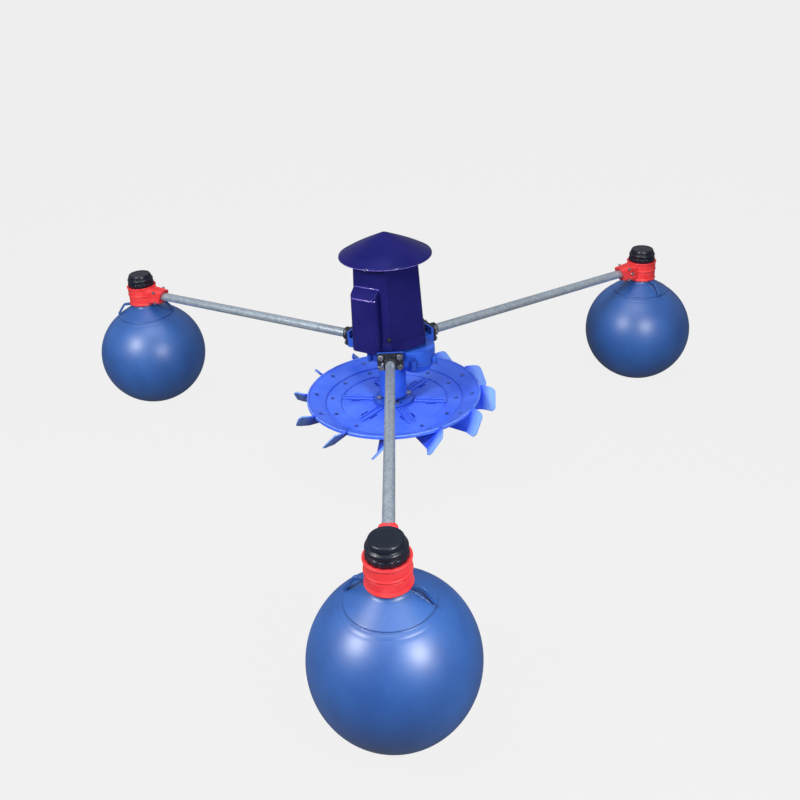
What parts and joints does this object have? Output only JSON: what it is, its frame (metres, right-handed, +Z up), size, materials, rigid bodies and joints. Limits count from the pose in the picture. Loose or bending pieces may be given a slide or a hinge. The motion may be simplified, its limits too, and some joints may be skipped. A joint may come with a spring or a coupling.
{
  "type": "floating surge aerator",
  "caption": "Geared motor under a roofed hood, held by radial tubes between ball floats, turning a bladed dish at the water line.",
  "frame": {"origin": "floor plane under the centre of the bounding box, with the three float feet on z = 0", "axes": "+Z up along the shafts, -Y along the front arm, +X to the right of the front arm"},
  "size_m": [2.0438, 1.817, 0.7345],
  "materials": {
    "hood_plastic": "glossy deep navy moulded plastic",
    "socket_black": "black painted casting",
    "cap_black": "satin black plastic",
    "case_blue": "blue enamel on cast aluminium",
    "core_steel": "laminated electrical steel",
    "steel": "machined steel",
    "zinc": "bright zinc plated fasteners",
    "tube_zinc": "galvanised steel tube",
    "seal_rubber": "black sealing rubber",
    "impeller_plastic": "bright blue moulded nylon",
    "blade_plastic": "bright blue moulded nylon, slightly see-through at the thin tips",
    "clamp_red": "red moulded plastic",
    "float_plastic": "satin blue blow-moulded polyethylene"
  },
  "bodies": {
    "frame": {"cover_roof": "hood_plastic", "motor_cover": "hood_plastic", "roof_posts": "socket_black", "cover_screws": "zinc", "terminal_box": "socket_black", "cable_gland": "cap_black", "motor_frame": "case_blue", "motor_lower_bell": "case_blue", "motor_upper_bell": "case_blue", "motor_bearings": "steel", "stator_core": "core_steel", "layshaft_bearings": "steel", "output_bearings": "steel", "oil_seal": "seal_rubber", "gear_case": "case_blue", "case_gasket": "seal_rubber", "column_housing": "case_blue", "case_bolts": "zinc", "socket_bolts": "zinc", "tube_lock_bolts": "zinc", "clamp_bolts": "zinc", "tube_socket_front": "socket_black", "arm_tube_front": "tube_zinc", "neck_clamp_front": "clamp_red", "float_ball_front": "float_plastic", "float_neck_front": "float_plastic", "tube_socket_right": "socket_black", "arm_tube_right": "tube_zinc", "neck_clamp_right": "clamp_red", "float_ball_right": "float_plastic", "float_neck_right": "float_plastic", "tube_socket_left": "socket_black", "arm_tube_left": "tube_zinc", "neck_clamp_left": "clamp_red", "float_ball_left": "float_plastic", "float_neck_left": "float_plastic"},
    "impeller": {"impeller_bowl": "impeller_plastic", "impeller_blades": "blade_plastic", "blade_screws": "zinc", "impeller_hub": "case_blue", "hub_bolts": "zinc", "shaft_nut": "zinc", "output_shaft": "steel", "output_gear": "steel", "shaft_key": "steel"},
    "layshaft": {"layshaft": "steel", "layshaft_gear": "steel", "layshaft_pinion": "steel"},
    "rotor": {"rotor_shaft": "steel", "rotor_core": "core_steel", "cooling_fan": "cap_black", "motor_pinion": "steel"},
    "seal_front": {"cap_seal_front": "seal_rubber"},
    "cap_front": {"float_cap_front": "cap_black"},
    "seal_right": {"cap_seal_right": "seal_rubber"},
    "cap_right": {"float_cap_right": "cap_black"},
    "seal_left": {"cap_seal_left": "seal_rubber"},
    "cap_left": {"float_cap_left": "cap_black"}
  },
  "joints": [
    {"name": "impeller_spin", "type": "hinge", "parent": "frame", "child": "impeller", "pos_m": [0, 0.2445, 0.3], "axis": [0, 0, 1], "continuous": true},
    {"name": "layshaft_spin", "type": "hinge", "parent": "frame", "child": "layshaft", "pos_m": [0.05369, 0.2135, 0.38], "axis": [0, 0, 1], "continuous": true},
    {"name": "rotor_spin", "type": "hinge", "parent": "frame", "child": "rotor", "pos_m": [0, 0.2445, 0.5], "axis": [0, 0, 1], "continuous": true},
    {"name": "cap_turn_front", "type": "hinge", "parent": "seal_front", "child": "cap_front", "pos_m": [0, -0.7335, 0.44], "axis": [0, 0, 1], "range_deg": [0, 545]},
    {"name": "cap_rise_front", "type": "slide", "parent": "frame", "child": "seal_front", "axis": [0, 0, 1], "range_m": [0, 0.009]},
    {"name": "cap_turn_right", "type": "hinge", "parent": "seal_right", "child": "cap_right", "pos_m": [0.84697, 0.7335, 0.44], "axis": [0, 0, 1], "range_deg": [0, 545]},
    {"name": "cap_rise_right", "type": "slide", "parent": "frame", "child": "seal_right", "axis": [0, 0, 1], "range_m": [0, 0.009]},
    {"name": "cap_turn_left", "type": "hinge", "parent": "seal_left", "child": "cap_left", "pos_m": [-0.84697, 0.7335, 0.44], "axis": [0, 0, 1], "range_deg": [0, 545]},
    {"name": "cap_rise_left", "type": "slide", "parent": "frame", "child": "seal_left", "axis": [0, 0, 1], "range_m": [0, 0.009]}
  ],
  "couplings": [
    {"joint": "layshaft_spin", "follows": "impeller_spin", "ratio": -2.875},
    {"joint": "rotor_spin", "follows": "impeller_spin", "ratio": 8.2656},
    {"joint": "cap_turn_front", "follows": "cap_rise_front", "rad_per_m": 1047.2},
    {"joint": "cap_turn_right", "follows": "cap_rise_right", "rad_per_m": 1047.2},
    {"joint": "cap_turn_left", "follows": "cap_rise_left", "rad_per_m": 1047.2}
  ]
}
